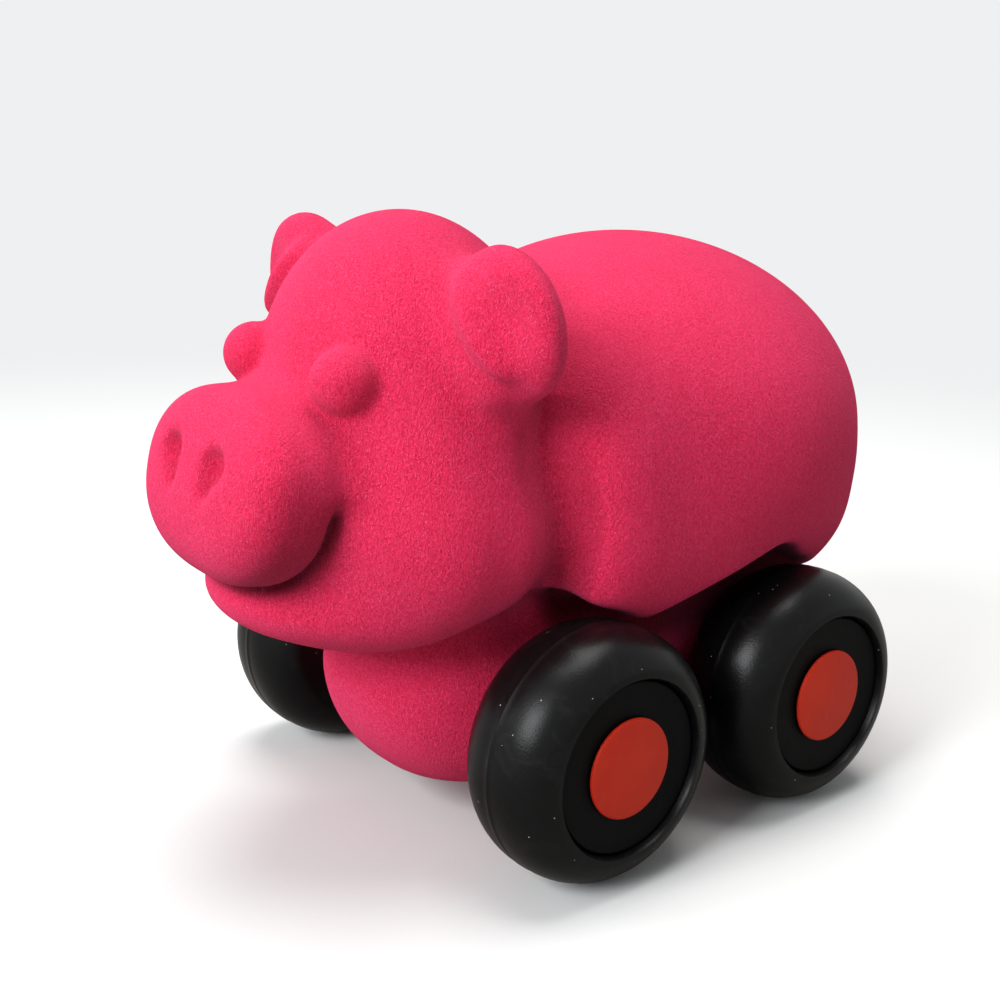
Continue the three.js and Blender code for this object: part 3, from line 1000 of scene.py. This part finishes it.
studio = {
    "floorColour": (0.74, 0.745, 0.74),
    "floorBounce": (0.34, 0.33, 0.31),  # what the floor throws back at the toy
    "floorRadius": 6.0,
    "floorRoughness": 0.85,
    "paperGrain": 900,  # spots in a metre
    "paperShade": 0.97,
    "backdrop": (0.86, 0.87, 0.88),
    "fadeFrom": 0.20,
    "fadeTo": 0.60,
    "sky": (0.97, 0.985, 1.0),
    "ambient": 0.34,
    "lampsAimAt": (0, 0, 0.05),
    "lamps": {
        "window": {"at": (0.10, -0.95, 0.60), "size": 0.5, "watts": 12.6, "colour": (0.96, 0.98, 1.0)},
        "ceiling": {"at": (-0.10, 0.10, 1.10), "size": 0.7, "watts": 11.8, "colour": (1.0, 0.99, 0.97)},
        "side": {"at": (-0.60, -0.70, 0.60), "size": 0.5, "watts": 2.0, "colour": (1.0, 0.99, 0.97)},
    },
}


# The camera and reflections see the backdrop, while the toy is lit by the softer sky.
def makeWorld():
    world = bpy.data.worlds.new("studio")
    world.use_nodes = True
    tree = world.node_tree
    tree.nodes.clear()
    rays = tree.nodes.new("ShaderNodeLightPath")
    mirrored = mathNode(tree, "MAXIMUM", rays.outputs["Is Glossy Ray"], rays.outputs["Is Transmission Ray"])
    shown = mathNode(tree, "MAXIMUM", rays.outputs["Is Camera Ray"], mirrored)
    seen = addNode(tree, "Background", {}, Color=(*studio["backdrop"], 1), Strength=1.0)
    soft = addNode(tree, "Background", {}, Color=(*studio["sky"], 1), Strength=studio["ambient"])
    mixed = addNode(tree, "MixShader", {}, i0=shown, i1=soft.outputs[0], i2=seen.outputs[0])
    out = tree.nodes.new("ShaderNodeOutputWorld")
    tree.links.new(mixed.outputs[0], out.inputs["Surface"])
    bpy.context.scene.world = world


def makeLamps():
    for name, lamp in studio["lamps"].items():
        data = bpy.data.lights.new(name, "AREA")
        data.energy = lamp["watts"]
        data.size = lamp["size"]
        data.color = lamp["colour"]
        item = bpy.data.objects.new(name, data)
        place = Vector(lamp["at"])
        item.location = place
        item.rotation_euler = (Vector(studio["lampsAimAt"]) - place).to_track_quat("-Z", "Y").to_euler()
        bpy.context.scene.collection.objects.link(item)


# Far from the toy the floor fades into the backdrop, for the camera only.
def makeFloor():
    bm = bmesh.new()
    bmesh.ops.create_circle(bm, cap_ends=True, segments=96, radius=studio["floorRadius"])
    floor = meshObject("floor", bm)
    material, tree, shader, place = newMaterial("floorPaper")
    grain = noiseAt(tree, place, studio["paperGrain"], 3.0, 0.6)
    paler = tuple(value * studio["paperShade"] for value in studio["floorColour"])
    shown = mixColour(tree, grain, studio["floorColour"], paler)
    shader.inputs["Roughness"].default_value = studio["floorRoughness"]
    away = addNode(tree, "VectorMath", {"operation": "LENGTH"}, i0=place).outputs["Value"]
    faded = spread(tree, away, studio["fadeFrom"], studio["fadeTo"])
    rays = tree.nodes.new("ShaderNodeLightPath")
    tree.links.new(mixColour(tree, rays.outputs["Is Camera Ray"], studio["floorBounce"], shown),
                   shader.inputs["Base Color"])
    share = mathNode(tree, "MULTIPLY", faded, rays.outputs["Is Camera Ray"])
    glow = addNode(tree, "Emission", {}, Color=(*studio["backdrop"], 1), Strength=1.0)
    mixed = addNode(tree, "MixShader", {}, i0=share, i1=shader.outputs[0], i2=glow.outputs[0])
    tree.links.new(mixed.outputs[0], tree.nodes["Material Output"].inputs["Surface"])
    floor.data.materials.append(material)


makeCamera()
makeWorld()
makeLamps()
makeFloor()
bpy.context.scene.view_settings.view_transform = "Standard"
print("camera and studio ready")
